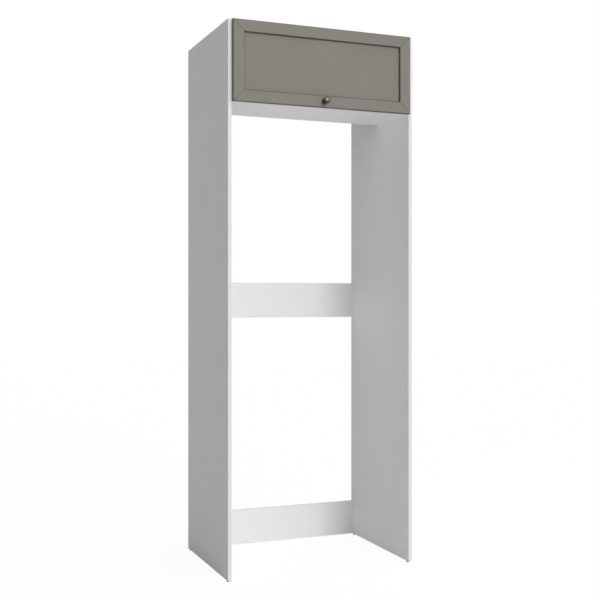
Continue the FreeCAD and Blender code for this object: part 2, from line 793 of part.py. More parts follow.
def stay_arms(side):
    """Lever on its pin, link on the lever's rivet, and bracket on the door."""
    lever = bar(lever_x, lever_pivot, link_pivot, lever_half_width)
    lever = lever.cut([
        pin_hole_at(lever_x, lever_pivot, stay_pin_radius + hole_slack),
        pin_hole_at(lever_x, link_pivot, rivet_radius + hole_slack),
    ])
    link = bar(link_x, link_pivot, door_pivot, link_half_width)
    link = link.cut([
        pin_hole_at(link_x, link_pivot, rivet_radius + running_fit),
        pin_hole_at(link_x, door_pivot, rivet_radius + open_pivot_slack),
    ])
    add("stay_lever_" + side, on_side(side, lever))
    add("stay_lever_rivet_" + side, on_side(side, rivet((link_x[0] - rivet_head_gap, lever_x[1]), link_pivot)))
    add("stay_link_" + side, on_side(side, link))
    pin_span = (ear_x[0], link_x[1] + rivet_head_gap)
    add("stay_bracket_pins", on_side(side, rivet(pin_span, door_pivot, head_at_both_ends=False)))


def stay_bracket(side):
    """Angle bracket on the door's stile that holds the link's pin."""
    y, z = door_pivot
    foot_y = (door_rear, door_rear + bracket_sheet)
    foot_z = (z - bracket_half_height, z + bracket_half_height)
    foot = box((ear_x[0], module_wall - bracket_side_margin), foot_y, foot_z)
    ear = box(ear_x, (door_rear, y), (z - bracket_ear_half, z + bracket_ear_half))
    tip = rod(bracket_ear_half, (ear_x[0], y, z), (ear_x[1], y, z))
    bracket = foot.fuse([ear, tip]).removeSplitter()
    bracket = bracket.cut(pin_hole_at(ear_x, door_pivot, rivet_radius + hole_slack))
    add("stay_bracket_" + side, on_side(side, bracket))
    x = (ear_x[1] + module_wall - bracket_side_margin) / 2
    for screw_z in (foot_z[0] + bracket_screw_edge, foot_z[1] - bracket_screw_edge):
        seat = (x, foot_y[1], screw_z)
        tip = (x, door_rear - door_screw_bite, screw_z)
        add("stay_bracket_screws", on_side(side, wood_screw(seat, tip)))
        shank_hole = on_side(side, hole(seat, tip, wood_screw_radius))
        cut("stay_bracket_" + side, shank_hole)
        cut("door_stile_" + side, shank_hole)


def build():
    """Model every piece of the unit."""
    tall_panels()
    glides()
    rails()
    module_boards()
    back_nails()
    module_fixings()
    bumpers()
    door_frame()
    door_panel()
    knob()
    for side in sides:
        hinge_cup(side)
        hinge_arm(side)
        stay_case(side)
        stay_friction(side)
        stay_arms(side)
        stay_bracket(side)


def write():
    """Cut the noted holes and write one file for each node."""
    os.makedirs("parts", exist_ok=True)
    for name, shapes in nodes.items():
        if name in cuts:
            shapes = [shape.cut(cuts[name]) for shape in shapes]
        solids = [solid for shape in shapes for solid in shape.Solids]
        whole = solids[0] if len(solids) == 1 else Part.makeCompound(solids)
        print(f"{name}: {len(solids)} solids, {whole.Volume / 1000:.2f} cm3, valid {whole.isValid()}")
        whole.exportStep(f"parts/{name}.step")


build()
write()
print(f"{len(nodes)} nodes, front plane {front_y}, rear plane {rear_y}, module floor {module_floor}")
print(f"flap axis y {axis_y:.4f} z {axis_z:.4f}, drop {axis_drop:.4f}")
print(f"lever pivot {lever_pivot}, link pivot {link_pivot}, door pivot {door_pivot}")
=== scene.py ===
import json
import math
from functools import cache

import bmesh
import bpy
from bpy.props import FloatProperty, FloatVectorProperty, IntProperty, PointerProperty
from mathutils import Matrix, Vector
from mathutils.geometry import interpolate_bezier

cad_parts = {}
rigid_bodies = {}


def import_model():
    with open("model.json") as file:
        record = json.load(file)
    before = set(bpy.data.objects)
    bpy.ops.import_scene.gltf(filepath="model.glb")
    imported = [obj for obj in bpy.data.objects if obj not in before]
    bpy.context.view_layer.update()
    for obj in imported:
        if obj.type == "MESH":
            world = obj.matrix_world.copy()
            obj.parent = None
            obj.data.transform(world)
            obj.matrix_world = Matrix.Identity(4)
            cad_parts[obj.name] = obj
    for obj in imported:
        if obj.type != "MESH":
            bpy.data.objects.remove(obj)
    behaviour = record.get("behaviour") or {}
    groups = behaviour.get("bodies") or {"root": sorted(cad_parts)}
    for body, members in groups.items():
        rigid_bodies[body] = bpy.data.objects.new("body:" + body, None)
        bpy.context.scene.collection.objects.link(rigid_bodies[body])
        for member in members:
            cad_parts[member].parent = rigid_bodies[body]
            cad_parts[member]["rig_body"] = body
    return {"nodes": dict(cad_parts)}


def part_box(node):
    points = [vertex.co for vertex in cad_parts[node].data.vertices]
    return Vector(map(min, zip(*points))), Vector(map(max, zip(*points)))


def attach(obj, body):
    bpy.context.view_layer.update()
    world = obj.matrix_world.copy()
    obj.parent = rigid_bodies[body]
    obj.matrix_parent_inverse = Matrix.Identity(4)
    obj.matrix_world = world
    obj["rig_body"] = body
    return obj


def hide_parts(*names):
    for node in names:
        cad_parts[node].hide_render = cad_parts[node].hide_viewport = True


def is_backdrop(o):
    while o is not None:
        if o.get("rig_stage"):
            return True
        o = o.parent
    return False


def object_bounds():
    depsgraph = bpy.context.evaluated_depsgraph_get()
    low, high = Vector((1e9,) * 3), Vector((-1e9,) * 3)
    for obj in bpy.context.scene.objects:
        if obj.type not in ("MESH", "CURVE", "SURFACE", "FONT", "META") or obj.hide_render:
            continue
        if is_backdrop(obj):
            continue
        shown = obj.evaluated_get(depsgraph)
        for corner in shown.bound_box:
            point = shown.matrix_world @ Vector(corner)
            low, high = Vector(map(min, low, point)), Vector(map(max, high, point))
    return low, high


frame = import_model()
cad_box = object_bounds()

bl_info = {
    "name": "Over-fridge Cabinet",
    "version": (1, 0, 0),
    "blender": (4, 5, 0),
    "location": "View3D > Sidebar > Cabinet",
    "description": "Finishes an over-fridge cabinet's boards, door and fittings and sets its studio stage",
    "category": "Object",
}

MM = 0.001
AXES = "xyz"
SIDES = ("left", "right")

# Points closer than WELD count as one, and faces that turn by less than FLAT as one face
WELD = 1e-6
FLAT = math.radians(0.2)

# An edge is sharp if its faces turn by SHARP, or by CREASE where one face is BROAD times the other
SHARP = math.radians(30)
CREASE = math.radians(1)
BROAD = 10.0

# Span that most values of a noise texture lie in
NOISE_SPAN = (0.3, 0.7)

# Steps along the curves of turned profiles and across rounded edges
BEAD_STEPS = 10
NECK_STEPS = 20
CROWN_STEPS = 14
SOLE_STEPS = 8
DOME_STEPS = 8
ROUND_STEPS = 6
FLANGE_STEPS = 4
BEVEL_STEPS = 2

# Facets of a fastener's head and shank
HEAD_SIDES = 32
HEAD_RINGS = 17
SHANK_SIDES = 20


def colour(name, description, default):
    """Property for a colour, in linear light."""
    return FloatVectorProperty(
        name=name, description=description, default=default, subtype="COLOR", size=3, min=0.0, max=1.0
    )


def length(name, description, default):
    """Property for a length in metres."""
    return FloatProperty(
        name=name, description=description, default=default, unit="LENGTH", min=0.0, precision=5
    )


def amount(name, description, default, high=1.0):
    """Property for a share or a strength."""
    return FloatProperty(
        name=name, description=description, default=default, subtype="FACTOR", min=0.0, max=high
    )


def angle(name, description, degrees):
    """Property for an angle, given in degrees."""
    return FloatProperty(
        name=name, description=description, default=math.radians(degrees), subtype="ANGLE"
    )


class CabinetFinishes(bpy.types.PropertyGroup):
    """Colours of the boards, the door and the fittings."""

    melamine: colour("Melamine", "Satin white coat of the boards", (0.90, 0.90, 0.896))
    band: colour("Edge band", "Plastic band on the boards' edges", (0.82, 0.82, 0.815))
    chip_light: colour("Chipboard, light", "Pale chips of the bare core", (0.58, 0.42, 0.26))
    chip_dark: colour("Chipboard, dark", "Dark chips of the bare core", (0.30, 0.19, 0.10))
    hardboard: colour("Hardboard", "Bare rear of the back sheet", (0.24, 0.13, 0.065))
    foil: colour("Door foil", "Matt warm-grey foil of the door", (0.240, 0.2255, 0.195))
    # Painted shade: this tone darkens the door's faces that turn from the front, its profiled edges and
    # recess walls, in place of their shade
    foil_painted_shade: amount("Foil on profiles", "Tone of the stretched foil on the door's profiled edges", 0.50)
    foil_seam: amount("Foil at seams", "Tone of the foil along the door's mitres", 0.35)
    bronze: colour("Bronze", "Dark patina of the knob", (0.040, 0.036, 0.031))
    rubbed: colour("Rubbed bronze", "Knob where hands have rubbed it bright", (0.25, 0.24, 0.215))
    brass: colour("Brass", "Knob's worn rim", (0.46, 0.36, 0.10))
    zinc: colour("Zinc", "Plating of the screws and pins", (0.62, 0.63, 0.63))
    nickel: colour("Nickel", "Plating of the hinges and stays", (0.66, 0.64, 0.60))
    glide: colour("Glide", "Moulded plastic of the foot glides", (0.022, 0.017, 0.013))
    cover: colour("Stay cover", "Moulded plastic of the stay covers", (0.47, 0.47, 0.48))
    bumper: colour("Bumper", "Soft clear bumper", (0.72, 0.72, 0.69))
    beech: colour("Beech", "Dowels and splines", (0.56, 0.39, 0.23))
    lining: colour("Friction lining", "Pressed lining of the stays", (0.10, 0.08, 0.07))


class CabinetFittings(bpy.types.PropertyGroup):
    """Small sizes of the rounded edges, the screws, the knob, the glides and the bumpers."""

    band_round: length("Band rounding", "Rounded edge of the edge bands", 0.2 * MM)
    mitre_round: length("Mitre rounding", "Rounded edge along the door's mitres", 0.5 * MM)
    seam_width: length("Seam width", "Width of the dark seam along a mitre, across both members", 1.4 * MM)
    door_round: length("Door rounding", "Rounded front arris of the door's members", 0.8 * MM)
    door_front: length("Door front", "How far behind the door's face its arrises are rounded", 3.0 * MM)
    door_hole: length("Door hole", "Edges shorter than this belong to holes and stay sharp", 20.0 * MM)
    sheet_round: length("Sheet rounding", "Rounded edge of pressed sheet", 0.25 * MM)
    cover_round: length("Cover rounding", "Rounded edge of the stay covers", 0.6 * MM)
    wood_head: length("Wood screw head", "Height of a wood screw's head", 1.4 * MM)
    wood_shank: length("Wood screw shank", "Radius of a wood screw's shank", 1.75 * MM)
    machine_head: length("Machine screw head", "Height of a machine screw's head", 2.0 * MM)
    machine_shank: length("Machine screw shank", "Radius of a machine screw's shank", 2.0 * MM)
    nail_head: length("Nail head", "Height of a back nail's head", 0.8 * MM)
    nail_shank: length("Nail shank", "Radius of a back nail's shank", 0.8 * MM)
    recess_width: length("Recess width", "Width of a cross recess' slots", 0.9 * MM)
    recess_depth: length("Recess depth", "Depth of a cross recess", 0.8 * MM)
    foot_radius: length("Knob foot", "Radius of the knob's foot", 12.5 * MM)
    foot_height: length("Knob foot height", "Height of the bead round the knob's foot", 3.0 * MM)
    neck_radius: length("Knob neck", "Radius of the knob's neck", 11.0 * MM)
    waist_low: amount("Knob waist, low", "Lower handle of the neck's curve, as a share of the length", 0.3)
    waist_high: amount("Knob waist, high", "Upper handle of the neck's curve, as a share of the length", 0.55)
    rim_height: length("Knob rim", "Height of the knob's rim", 3.0 * MM)
    rim_round: length("Knob rim rounding", "Rounding of the knob's rim", 1.1 * MM)
    crown: length("Knob crown", "Rise of the knob's crown above its rim", 5.0 * MM)
    glide_flange: amount("Glide flange", "Share of a glide's height that its flange takes", 0.3)
    glide_step: length("Glide step", "How far a glide's flange stands out from its body", 0.15 * MM)
    glide_edge: length("Glide edge", "Rounding of a glide's flange", 0.4 * MM)
    glide_sole: length("Glide sole", "Rounding of a glide's sole", 0.9 * MM)
    bumper_flat: amount("Bumper flat", "Share of a bumper's radius that stays flat on top", 0.35)
    bumper_shoulder: amount("Bumper shoulder", "Share of a bumper's height below its dome", 0.25)
    turned_steps: IntProperty(
        name="Turned steps", description="Facets round a turned piece", default=64, min=12, max=256
    )


class CabinetStage(bpy.types.PropertyGroup):
    """Camera, lamp, world and floor of the studio."""

    camera_place: FloatVectorProperty(
        name="Camera place", description="Where the camera stands", default=(-1.6258, -4.0336, 1.1124),
        subtype="TRANSLATION", unit="LENGTH", size=3,
    )
    camera_heading: angle("Camera heading", "Turn of the level camera about Z", -22.0)
    lens: FloatProperty(
        name="Lens", description="Focal length for a 36 mm sensor", default=60.76, unit="CAMERA", min=1.0
    )
    shift: FloatProperty(name="Shift", description="Upward shift of the lens", default=-0.0031)
    lamp_heading: angle("Lamp heading", "How far to the right of the front the lamp stands", 10.0)
    lamp_height: angle("Lamp height", "Elevation of the lamp", 24.0)
    lamp_spread: angle("Lamp spread", "Apparent size of the soft lamp", 20.0)
    lamp_strength: amount("Lamp strength", "Light of the lamp on a face turned to it", 1.0, 10.0)
    room_low: amount("Room, low", "Light of the room on the object from the horizon", 0.39, 10.0)
    room_high: amount("Room, high", "Light of the room on the object from overhead", 0.72, 10.0)
    room_right: amount("Room, right", "How much brighter the room is on the right", 1.0)
    room_front: amount("Room, front", "How much brighter the room is in front", 0.25)
    floor_span: length("Floor span", "Side of the square floor", 30.0)
    floor_colour: colour("Floor", "Pale floor", (0.84, 0.84, 0.84))
    floor_shadow: amount("Floor shadow", "Share of the floor's own light that is seen", 0.10)
    floor_white: amount("Floor white", "White that the floor shows besides its own light", 0.934)


def settings():
    """The finishes, fittings and stage settings of the scene."""
    scene = bpy.context.scene
    return scene.cabinet_finishes, scene.cabinet_fittings, scene.cabinet_stage


def put(tree, kind, inputs=None, **options):
    """Add a node, set its options, and set or link its inputs by name or number."""
    node = tree.nodes.new(kind)
    for option, value in options.items():
        setattr(node, option, value)
    for key, value in (inputs or {}).items():
        if isinstance(value, bpy.types.NodeSocket):
            tree.links.new(value, node.inputs[key])
        else:
            node.inputs[key].default_value = value
    return node


def calc(tree, operation, first, second=0.0):
    """Result of a sum on two numbers or sockets."""
    return put(tree, "ShaderNodeMath", {0: first, 1: second}, operation=operation).outputs[0]


def spread(tree, value, low, high, start=0.0, end=1.0):
    """A value taken from one span to another, and held at its ends."""
    inputs = {"Value": value, "From Min": low, "From Max": high, "To Min": start, "To Max": end}
    return put(tree, "ShaderNodeMapRange", inputs).outputs["Result"]


def mixed(tree, factor, first, second):
    """Two colours mixed by a factor."""
    inputs = {0: factor, 6: first, 7: second}
    return put(tree, "ShaderNodeMix", inputs, data_type="RGBA").outputs[2]


def opaque(tint, share=1.0):
    """A property's colour with alpha, lightened or darkened by a share."""
    return (*[min(1.0, part * share) for part in tint], 1.0)


class Finish:
    """A material under construction, with textures on the piece's own coordinates."""

    def __init__(self, name):
        self.material = bpy.data.materials.new(name)
        self.material.use_nodes = True
        self.tree = self.material.node_tree
        self.shader = self.tree.nodes["Principled BSDF"]
        self.place = put(self.tree, "ShaderNodeTexCoord")

    def where(self, stretch=(1.0, 1.0, 1.0), centre=(0.0, 0.0, 0.0)):
        """Object coordinates about a centre, squeezed along the axes."""
        inputs = {0: self.place.outputs["Object"], "Scale": stretch}
        inputs["Location"] = [-part * squeeze for part, squeeze in zip(centre, stretch)]
        return put(self.tree, "ShaderNodeMapping", inputs).outputs[0]

    def noise(self, scale, detail=2.0, stretch=(1.0, 1.0, 1.0)):
        """Cloudy values from 0 to 1, so many to the metre."""
        inputs = {"Vector": self.where(stretch), "Scale": scale, "Detail": detail}
        return put(self.tree, "ShaderNodeTexNoise", inputs).outputs[0]

    def cloud(self, scale, detail, low=0.0, high=1.0, stretch=(1.0, 1.0, 1.0)):
        """Noise drawn out to run from a low to a high value."""
        return spread(self.tree, self.noise(scale, detail, stretch), *NOISE_SPAN, low, high)

    def facing(self, axis):
        """How far the surface looks along one of the piece's axes, from -1 to 1."""
        return put(self.tree, "ShaderNodeSeparateXYZ", {0: self.place.outputs["Normal"]}).outputs[axis]

    def set(self, **inputs):
        """Set or link the shader's inputs, named with underscores for spaces."""
        for key, value in inputs.items():
            socket = self.shader.inputs[key.replace("_", " ")]
            if isinstance(value, bpy.types.NodeSocket):
                self.tree.links.new(value, socket)
            else:
                socket.default_value = value

    def relief(self, height, depth, strength=1.0):
        """Bump the surface by a height texture of a real depth."""
        inputs = {"Height": height, "Distance": depth, "Strength": strength}
        self.set(Normal=put(self.tree, "ShaderNodeBump", inputs).outputs[0])


@cache
def melamine(broad, under=False):
    """Satin white board whose coated faces look along one axis, and down if its lower edge is coated.

    The other edges are cut and show the chips.
    """
    finishes = settings()[0]
    finish = Finish("white_melamine_" + AXES[broad] + ("_under" if under else ""))
    tree = finish.tree
    coated = calc(tree, "GREATER_THAN", calc(tree, "ABSOLUTE", finish.facing(broad)), 0.5)
    if under:
        coated = calc(tree, "MAXIMUM", coated, calc(tree, "LESS_THAN", finish.facing(2), -0.5))
    cloud = finish.cloud(5.0, 3.0)
    grain = finish.noise(1500.0, 2.0)
    coat = mixed(tree, cloud, opaque(finishes.melamine, 0.985), opaque(finishes.melamine))
    chips = put(tree, "ShaderNodeTexVoronoi", {"Vector": finish.where((1.0, 1.0, 1.8)), "Scale": 420.0})
    chip = put(tree, "ShaderNodeSeparateColor", {0: chips.outputs["Color"]}).outputs[0]
    core = mixed(tree, chip, opaque(finishes.chip_dark), opaque(finishes.chip_light))
    gloss = finish.cloud(40.0, 3.0, 0.5, 0.58)
    rough = spread(tree, coated, 0.0, 1.0, 0.92, gloss)
    finish.set(Base_Color=mixed(tree, coated, core, coat), Roughness=rough, Specular_IOR_Level=0.18)
    pitted = calc(tree, "MULTIPLY", chips.outputs["Distance"], 6.0)
    height = calc(tree, "MULTIPLY", grain, coated)
    rough_edge = calc(tree, "MULTIPLY", pitted, calc(tree, "SUBTRACT", 1.0, coated))
    finish.relief(calc(tree, "ADD", height, rough_edge), 0.05 * MM, 0.5)
    return finish.material


@cache
def edge_band():
    """Satin plastic band with faint lines along its length."""
    finishes = settings()[0]
    finish = Finish("white_edge_band")
    tree = finish.tree
    cloud = finish.cloud(9.0, 3.0)
    lines = finish.noise(900.0, 2.0, (1.0, 1.0, 0.03))
    finish.set(
        Base_Color=mixed(tree, cloud, opaque(finishes.band, 0.985), opaque(finishes.band)),
        Roughness=spread(tree, lines, *NOISE_SPAN, 0.34, 0.46),
        Specular_IOR_Level=0.45,
    )
    finish.relief(lines, 0.02 * MM, 0.4)
    return finish.material


@cache
def door_foil():
    """Matt warm-grey foil with a fine leathery emboss, with painted shade on the faces turned from the front
    and darker along the mitres' seams.
    """
    finishes, fittings, _ = settings()
    finish = Finish("taupe_foil")
    tree = finish.tree
    cloud = finish.cloud(6.0, 4.0)
    fleck = spread(tree, finish.noise(700.0, 3.0), 0.35, 0.65)
    base = mixed(tree, cloud, opaque(finishes.foil, 0.97), opaque(finishes.foil, 1.02))
    flecked = mixed(tree, calc(tree, "MULTIPLY", fleck, 0.10), base, opaque(finishes.foil, 0.75))
    # Painted shade: faces turned from the front, the profiled edges and recess walls, are mixed towards a
    # darker tone of the foil
    painted_shade_mask = spread(tree, calc(tree, "ABSOLUTE", finish.facing(1)), 0.97, 0.75)
    shaded = mixed(tree, painted_shade_mask, flecked, opaque(finishes.foil, finishes.foil_painted_shade))
    rail_low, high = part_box("door_rail_top")
    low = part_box("door_rail_bottom")[0]
    spot = put(tree, "ShaderNodeSeparateXYZ", {0: finish.where(centre=(low + high) / 2)})
    insets = []
    for axis in (0, 2):
        off_centre = calc(tree, "ABSOLUTE", spot.outputs[axis])
        insets.append(calc(tree, "SUBTRACT", (high[axis] - low[axis]) / 2, off_centre))
    off_mitre = calc(tree, "ABSOLUTE", calc(tree, "SUBTRACT", *insets))
    on_frame = calc(tree, "LESS_THAN", insets[0], high.z - rail_low.z)
    seam = spread(tree, off_mitre, fittings.seam_width, fittings.seam_width / 2)
    seamed = calc(tree, "MULTIPLY", seam, on_frame)
    finish.set(
        Base_Color=mixed(tree, seamed, shaded, opaque(finishes.foil, finishes.foil_seam)),
        Roughness=finish.cloud(120.0, 3.0, 0.48, 0.60),
        Specular_IOR_Level=0.35,
    )
    finish.relief(finish.noise(1300.0, 3.0), 0.04 * MM, 0.5)
    return finish.material


@cache
def back_sheet():
    """Hardboard, painted white inside and bare with its screen marks outside."""
    finishes = settings()[0]
    finish = Finish("white_back_sheet")
    tree = finish.tree
    painted = calc(tree, "LESS_THAN", finish.facing(1), -0.5)
    fibre = spread(tree, finish.noise(260.0, 5.0, (1.0, 1.0, 2.2)), 0.25, 0.75)
    bare = mixed(tree, fibre, opaque(finishes.hardboard, 0.6), opaque(finishes.hardboard, 1.25))
    cloud = finish.cloud(6.0, 3.0)
    paint = mixed(tree, cloud, opaque(finishes.melamine, 0.93), opaque(finishes.melamine, 0.96))
    screens = []
    for across in ("X", "Z"):
        inputs = {"Vector": finish.where(), "Scale": 130.0, "Distortion": 0.6, "Detail": 1.0}
        wave = put(tree, "ShaderNodeTexWave", inputs, bands_direction=across)
        screens.append(wave.outputs["Fac"])
    screen = calc(tree, "MULTIPLY", *screens)
    raw = calc(tree, "SUBTRACT", 1.0, painted)
    finish.set(
        Base_Color=mixed(tree, painted, bare, paint),
        Roughness=spread(tree, painted, 0.0, 1.0, 0.85, 0.55),
        Specular_IOR_Level=0.35,
    )
    finish.relief(calc(tree, "MULTIPLY", screen, raw), 0.15 * MM, 0.7)
    return finish.material


@cache
def plated(name, low, high):
    """Plated steel with a cloudy sheen and fine handling marks."""
    finishes = settings()[0]
    tint = getattr(finishes, name)
    finish = Finish(name + "_plated_steel")
    tree = finish.tree
    cloud = finish.cloud(160.0, 4.0)
    marks = finish.noise(900.0, 3.0, (1.0, 0.15, 1.0))
    finish.set(
        Base_Color=mixed(tree, cloud, opaque(tint, 0.86), opaque(tint, 1.04)),
        Metallic=1.0,
        Roughness=spread(tree, marks, *NOISE_SPAN, low, high),
    )
    finish.relief(marks, 0.01 * MM, 0.4)
    return finish.material


def zinc_plate():
    """Plating of the screws, nails, pins and cams."""
    return plated("zinc", 0.28, 0.44)


def nickel_plate():
    """Plating of the hinges and stays."""
    return plated("nickel", 0.22, 0.36)


@cache
def knob_bronze():
    """Dark patina, rubbed bright on the crown, with painted light making the crown brighter towards its top,
    and worn to brass along the rim.
    """
    finishes, fittings, _ = settings()
    low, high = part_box("knob")
    middle = (low + high) / 2
    head = (high.x - low.x) / 2
    crown_start = low.y + fittings.crown
    finish = Finish("dark_bronze")
    tree = finish.tree
    split = put(tree, "ShaderNodeSeparateXYZ", {0: finish.where(centre=(middle.x, crown_start, middle.z))})
    across, out, up = split.outputs
    squares = calc(tree, "ADD", calc(tree, "POWER", across, 2.0), calc(tree, "POWER", up, 2.0))
    radius = calc(tree, "SQRT", squares)
    smear = finish.noise(260.0, 4.0)
    # The borders of the wear wander by up to a millimetre either way
    ragged = calc(tree, "MULTIPLY", calc(tree, "SUBTRACT", smear, 0.5), 2.0 * MM)
    on_crown = spread(tree, calc(tree, "ADD", out, ragged), 0.2 * MM, -0.9 * MM)
    near_rim = spread(tree, calc(tree, "ADD", radius, ragged), head - 1.3 * MM, head - 0.2 * MM)
    forward = spread(tree, out, 1.6 * MM, 0.4 * MM)
    base = mixed(tree, smear, opaque(finishes.bronze, 0.8), opaque(finishes.bronze, 1.5))
    # Painted light: the rubbed crown is made brighter towards its top and dimmer towards its bottom, as light
    # from above would show it
    painted_top_light = spread(tree, up, -0.6 * head, 0.5 * head, 0.3, 1.0)
    inner = spread(tree, calc(tree, "ADD", radius, ragged), 0.9 * head, 0.6 * head)
    # Rubbed wear on the crown's middle, times the painted light that brightens its top
    wear_and_top_light = calc(tree, "MULTIPLY", calc(tree, "MULTIPLY", on_crown, inner), painted_top_light)
    crowned = mixed(tree, wear_and_top_light, base, opaque(finishes.rubbed))
    patchy = spread(tree, finish.noise(420.0, 2.0), 0.45, 0.6, 0.0, 0.6)
    worn = calc(tree, "MULTIPLY", calc(tree, "MULTIPLY", near_rim, forward), patchy)
    finish.set(
        Base_Color=mixed(tree, worn, crowned, opaque(finishes.brass)),
        Metallic=0.9,
        Roughness=spread(tree, smear, *NOISE_SPAN, 0.30, 0.44),
    )
    finish.relief(finish.noise(600.0, 3.0), 0.02 * MM, 0.4)
    return finish.material


@cache
def moulded(name, roughness, grain):
    """Moulded plastic or rubber with a spark-eroded grain."""
    finishes = settings()[0]
    tint = getattr(finishes, name)
    finish = Finish(name + "_moulding")
    tree = finish.tree
    cloud = finish.cloud(90.0, 3.0)
    pores = finish.noise(grain, 3.0)
    finish.set(
        Base_Color=mixed(tree, cloud, opaque(tint, 0.92), opaque(tint, 1.05)),
        Roughness=spread(tree, pores, *NOISE_SPAN, roughness - 0.06, roughness + 0.06),
        Specular_IOR_Level=0.45,
    )
    finish.relief(pores, 0.03 * MM, 0.6)
    return finish.material


@cache
def beech(along):
    """Bare beech with its grain and short flecks along one axis."""
    finishes = settings()[0]
    finish = Finish("beech_" + AXES[along])
    tree = finish.tree
    stretch = [1.0, 1.0, 1.0]
    stretch[along] = 0.06
    rings = finish.cloud(420.0, 4.0, stretch=stretch)
    flecks = spread(tree, finish.noise(2400.0, 2.0, stretch), 0.62, 0.7)
    base = mixed(tree, rings, opaque(finishes.beech, 0.8), opaque(finishes.beech, 1.1))
    fleck = calc(tree, "MULTIPLY", flecks, 0.5)
    finish.set(
        Base_Color=mixed(tree, fleck, base, opaque(finishes.beech, 0.55)),
        Roughness=spread(tree, rings, 0.0, 1.0, 0.6, 0.75),
    )
    finish.relief(rings, 0.03 * MM, 0.5)
    return finish.material


def paint(material, *nodes):
    """Give CAD nodes their finish."""
    for node in nodes:
        part = frame["nodes"][node]
        if not part.material_slots:
            part.data.materials.append(material)
        for slot in part.material_slots:
            slot.material = material


def shade(data):
    """Shade a mesh smooth up to its sharp edges."""
    data.shade_smooth()
    data.set_sharp_from_angle(angle=SHARP)


def new_piece(name, mesh):
    """An object at the origin for a finished bmesh, smooth up to its sharp edges.

    Normals that a CAD mesh brought along no longer fit, and are dropped.
    """
    data = bpy.data.meshes.new(name)
    mesh.to_mesh(data)
    mesh.free()
    brought = data.attributes.get("custom_normal")
    if brought:
        data.attributes.remove(brought)
    shade(data)
    piece = bpy.data.objects.new(name, data)
    bpy.context.scene.collection.objects.link(piece)
    return piece


def make_plain(piece):
    """Turn a piece with its modifiers into a plain mesh."""
    graph = bpy.context.evaluated_depsgraph_get()
    shaped = piece.evaluated_get(graph)
    data = bpy.data.meshes.new_from_object(shaped, preserve_all_data_layers=True, depsgraph=graph)
    piece.modifiers.clear()
    piece.data = data
    if not data.polygons:
        raise RuntimeError(piece.name + " came out empty")


def crease(piece):
    """Sharpen edges where faces turn, and where a broad face meets a small one, so that it shades flat."""
    mesh = bmesh.new()
    mesh.from_mesh(piece.data)
    for edge in mesh.edges:
        areas = [face.calc_area() for face in edge.link_faces]
        limit = CREASE if max(areas) > BROAD * min(areas) else SHARP
        edge.smooth = edge.calc_face_angle(0.0) < limit
    mesh.to_mesh(piece.data)
    mesh.free()


def stand_for(piece, *nodes):
    """Let a piece take the place of CAD nodes, on their body."""
    first = nodes[0]
    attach(piece, frame["nodes"][first]["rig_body"])
    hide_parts(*nodes)


def merged(node):
    """A CAD node's triangles joined into closed solids."""
    mesh = bmesh.new()
    mesh.from_mesh(frame["nodes"][node].data)
    bmesh.ops.remove_doubles(mesh, verts=mesh.verts, dist=WELD)
    return mesh


def softened(node, radius, material, share=None, clamp=True):
    """A copy of a CAD node with rounded edges in its place; share gives an edge its part of the radius."""
    mesh = merged(node)
    bmesh.ops.dissolve_limit(mesh, angle_limit=FLAT, verts=mesh.verts, edges=mesh.edges)
    weight = mesh.edges.layers.float.new("bevel_weight_edge")
    for edge in mesh.edges:
        if edge.calc_face_angle(0.0) > SHARP:
            edge[weight] = share(edge) if share else 1.0
    piece = new_piece(node + "_softened", mesh)
    piece.data.materials.append(material)
    bevel = piece.modifiers.new("Rounding", "BEVEL")
    bevel.limit_method = "WEIGHT"
    bevel.width = radius
    bevel.segments = BEVEL_STEPS
    bevel.use_clamp_overlap = clamp
    make_plain(piece)
    crease(piece)
    stand_for(piece, node)


def solids(node):
    """Lowest and highest corners of each separate solid of a CAD node, in order of place."""
    mesh = merged(node)
    waiting = set(mesh.verts)
    boxes = []
    while waiting:
        island = [waiting.pop()]
        for vert in island:
            for edge in vert.link_edges:
                other = edge.other_vert(vert)
                if other in waiting:
                    waiting.remove(other)
                    island.append(other)
        corners = [[pick(vert.co[axis] for vert in island) for axis in range(3)] for pick in (min, max)]
        boxes.append((Vector(corners[0]), Vector(corners[1])))
    mesh.free()
    return sorted(boxes, key=lambda box: tuple(box[0]))


def turned(mesh, profile, foot, axis, steps):
    """Add a closed surface turned about an axis through its foot, from (radius, distance) points."""
    side = axis.orthogonal().normalized()
    other = axis.cross(side)
    rings = []
    for radius, out in profile:
        middle = foot + axis * out
        turns = [2 * math.pi * step / steps for step in range(steps if radius > WELD else 1)]
        arms = [side * math.cos(turn) + other * math.sin(turn) for turn in turns]
        rings.append([mesh.verts.new(middle + arm * radius) for arm in arms])
    for low, high in zip(rings, rings[1:]):
        for step in range(steps):
            after = step + 1
            corners = [low[step % len(low)], low[after % len(low)]]
            corners += [high[after % len(high)], high[step % len(high)]]
            mesh.faces.new(list(dict.fromkeys(corners)))


def round_over(centre, radius, start, end, count=ROUND_STEPS):
    """Points of an arc in the plane of a profile, between two angles in degrees."""
    angles = [math.radians(start + (end - start) * step / count) for step in range(count + 1)]
    return [(centre[0] + radius * math.cos(turn), centre[1] + radius * math.sin(turn)) for turn in angles]


def turned_piece(name, bodies, material):
    """A piece made of turned bodies, each given as (profile, foot, axis)."""
    steps = settings()[1].turned_steps
    mesh = bmesh.new()
    for profile, foot, axis in bodies:
        turned(mesh, profile, foot, axis, steps)
    bmesh.ops.recalc_face_normals(mesh, faces=mesh.faces)
    piece = new_piece(name, mesh)
    piece.data.materials.append(material)
    return piece


FASTENER_SIZES = (
    "Head Radius", "Head Height", "Shank Radius", "Shank Length", "Recess Width", "Recess Depth"
)


